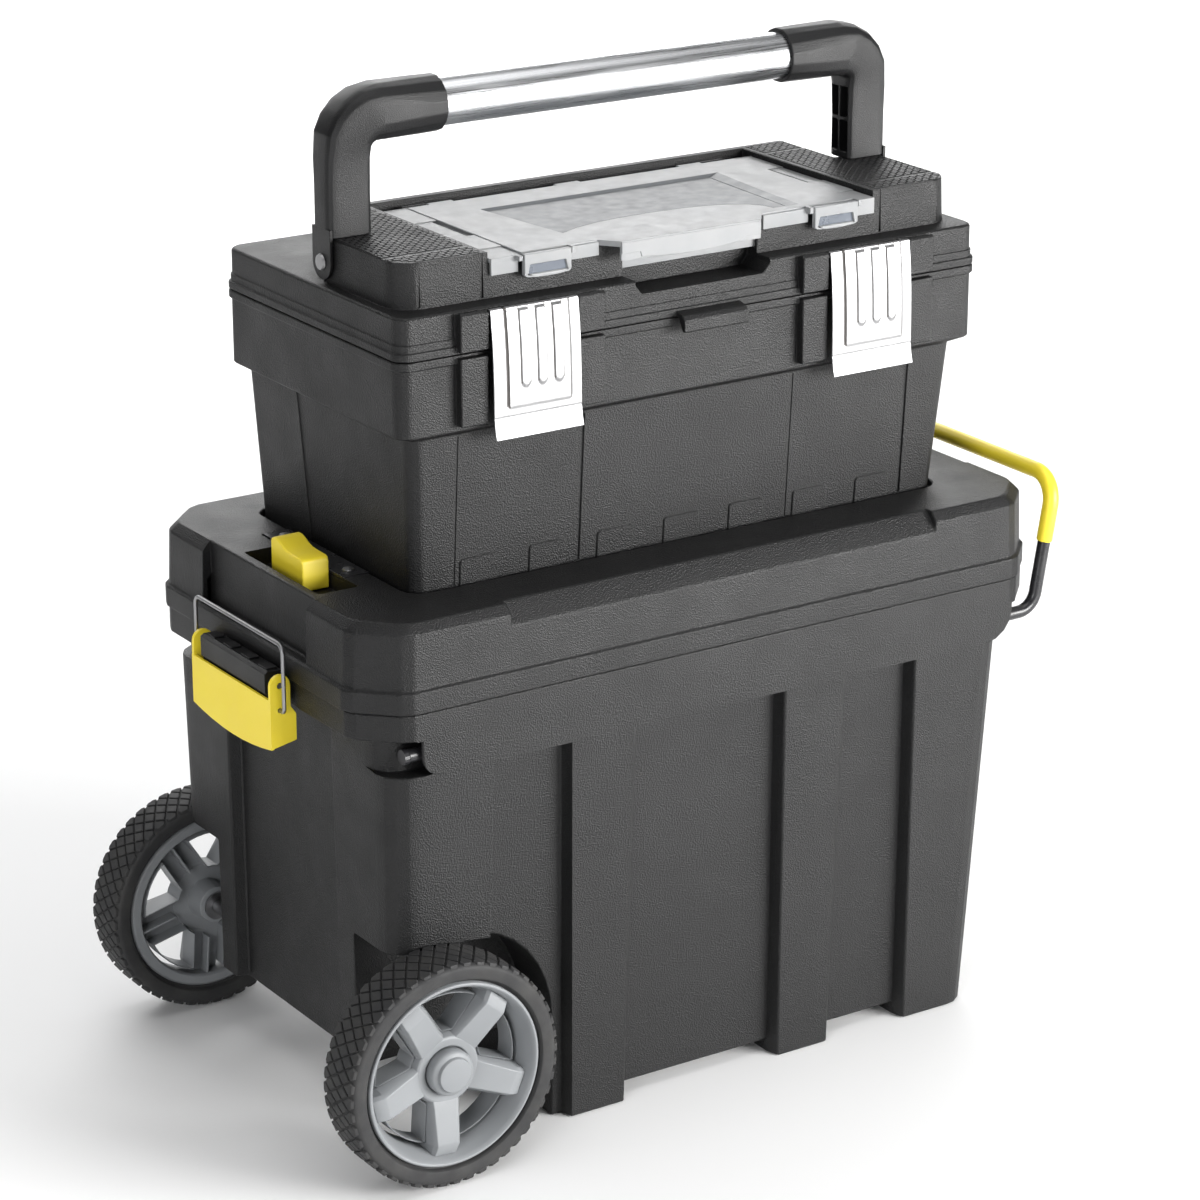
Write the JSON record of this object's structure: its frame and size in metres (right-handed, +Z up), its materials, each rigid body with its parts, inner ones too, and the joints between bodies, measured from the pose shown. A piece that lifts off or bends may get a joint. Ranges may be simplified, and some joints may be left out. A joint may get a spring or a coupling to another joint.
{
  "type": "rolling tool box",
  "caption": "Wheeled ribbed tool chest with a slide-out pull handle and a latched hinged lid, with a lift-off upper box that has steel latches, a folding handle and a clear organizer.",
  "frame": {"origin": "on the ground under the middle of the whole box's bounding box", "axes": "+Z up; +X along the length towards the pull handle, the wheels are at -X; -Y is the front with the steel latches"},
  "size_m": [0.6405, 0.392, 0.7347],
  "materials": {
    "black_plastic": "fine leather grain, satin",
    "handle_plastic": "smooth satin",
    "yellow_plastic": "smooth, slightly glossy",
    "grey_plastic": "satin",
    "tyre_rubber": "matt block tread",
    "steel": "plain drawn",
    "bright_steel": "bright pressed and plated",
    "aluminium": "brushed along its length",
    "black_rod": "semi-gloss paint",
    "clear_plastic": "frosted clear polypropylene"
  },
  "bodies": {
    "chest": {"chest_shell": "black_plastic", "axle": "steel", "axle_washer_front": "steel", "axle_washer_back": "steel", "lid_hinge_rod": "steel", "latch_bracket": "handle_plastic", "latch_pin": "steel"},
    "wheel_front": {"tyre_front": "tyre_rubber", "hub_front": "grey_plastic", "hub_cap_front": "grey_plastic"},
    "wheel_back": {"tyre_back": "tyre_rubber", "hub_back": "grey_plastic", "hub_cap_back": "grey_plastic"},
    "pull_handle": {"pull_rod": "black_rod", "pull_grip": "yellow_plastic", "rod_stop_front": "steel", "rod_stop_back": "steel"},
    "chest_lid": {"chest_lid": "black_plastic", "lock_plate": "black_rod", "lock_rivet_front": "bright_steel", "lock_rivet_back": "bright_steel"},
    "lock_slider": {"lock_slider": "yellow_plastic"},
    "end_latch": {"latch_lever": "yellow_plastic"},
    "end_latch_wire": {"latch_bail": "bright_steel"},
    "upper_box": {"box_base": "black_plastic", "box_hinge_rod": "steel", "inner_tray": "handle_plastic"},
    "upper_lid": {"box_lid": "black_plastic", "steel_pin_left": "steel", "steel_pin_right": "steel", "carry_pin_left": "bright_steel", "carry_pin_right": "bright_steel", "organizer_tray": "clear_plastic", "organizer_rod": "steel"},
    "steel_latch_left": {"steel_latch_left": "bright_steel"},
    "steel_latch_right": {"steel_latch_right": "bright_steel"},
    "carry_handle": {"carry_arm_left": "handle_plastic", "carry_arm_right": "handle_plastic", "carry_tube": "aluminium"},
    "organizer_lid": {"organizer_lid": "clear_plastic"},
    "organizer_clip_left": {"organizer_clip_left": "clear_plastic"},
    "organizer_clip_right": {"organizer_clip_right": "clear_plastic"}
  },
  "joints": [
    {"name": "wheel_front_spin", "type": "hinge", "parent": "chest", "child": "wheel_front", "pos_m": [-0.2363, -0.176, 0.084], "axis": [0, 1, 0], "continuous": true},
    {"name": "wheel_back_spin", "type": "hinge", "parent": "chest", "child": "wheel_back", "pos_m": [-0.2363, 0.176, 0.084], "axis": [0, 1, 0], "continuous": true},
    {"name": "pull_handle_slide", "type": "slide", "parent": "chest", "child": "pull_handle", "axis": [1, 0, 0], "range_m": [0, 0.29]},
    {"name": "chest_lid_hinge", "type": "hinge", "parent": "chest", "child": "chest_lid", "pos_m": [0, 0.1725, 0.3385], "axis": [-1, 0, 0], "range_deg": [0, 95]},
    {"name": "lock_slide", "type": "slide", "parent": "chest_lid", "child": "lock_slider", "axis": [0, -1, 0], "range_m": [0, 0.03]},
    {"name": "end_latch_lever", "type": "hinge", "parent": "chest", "child": "end_latch", "pos_m": [-0.29, 0, 0.338], "axis": [0, 1, 0], "range_deg": [0, 110]},
    {"name": "end_latch_wire", "type": "hinge", "parent": "end_latch", "child": "end_latch_wire", "pos_m": [-0.2905, 0, 0.32], "axis": [0, -1, 0], "range_deg": [0, 132]},
    {"name": "upper_box_lift", "type": "slide", "parent": "chest_lid", "child": "upper_box", "axis": [0, 0, 1], "range_m": [0, 0.06]},
    {"name": "upper_lid_hinge", "type": "hinge", "parent": "upper_box", "child": "upper_lid", "pos_m": [0.0195, 0.1365, 0.57], "axis": [-1, 0, 0], "range_deg": [0, 100]},
    {"name": "steel_latch_left_hinge", "type": "hinge", "parent": "upper_lid", "child": "steel_latch_left", "pos_m": [-0.1222, -0.1192, 0.596], "axis": [-1, 0, 0], "range_deg": [0, 110]},
    {"name": "steel_latch_right_hinge", "type": "hinge", "parent": "upper_lid", "child": "steel_latch_right", "pos_m": [0.1607, -0.1192, 0.596], "axis": [-1, 0, 0], "range_deg": [0, 110]},
    {"name": "carry_handle_fold", "type": "hinge", "parent": "upper_lid", "child": "carry_handle", "pos_m": [0.0195, 0, 0.6147], "axis": [-1, 0, 0], "range_deg": [0, 75]},
    {"name": "organizer_lid_hinge", "type": "hinge", "parent": "upper_lid", "child": "organizer_lid", "pos_m": [0.0195, 0.057, 0.6262], "axis": [-1, 0, 0], "range_deg": [0, 40]},
    {"name": "organizer_clip_left_hinge", "type": "hinge", "parent": "organizer_lid", "child": "organizer_clip_left", "pos_m": [-0.1005, -0.1022, 0.6262], "axis": [-1, 0, 0], "range_deg": [0, 100]},
    {"name": "organizer_clip_right_hinge", "type": "hinge", "parent": "organizer_lid", "child": "organizer_clip_right", "pos_m": [0.1425, -0.1022, 0.6262], "axis": [-1, 0, 0], "range_deg": [0, 100]}
  ],
  "couplings": [
    {"joint": "end_latch_wire", "follows": "end_latch_lever", "ratio": 1.2}
  ]
}
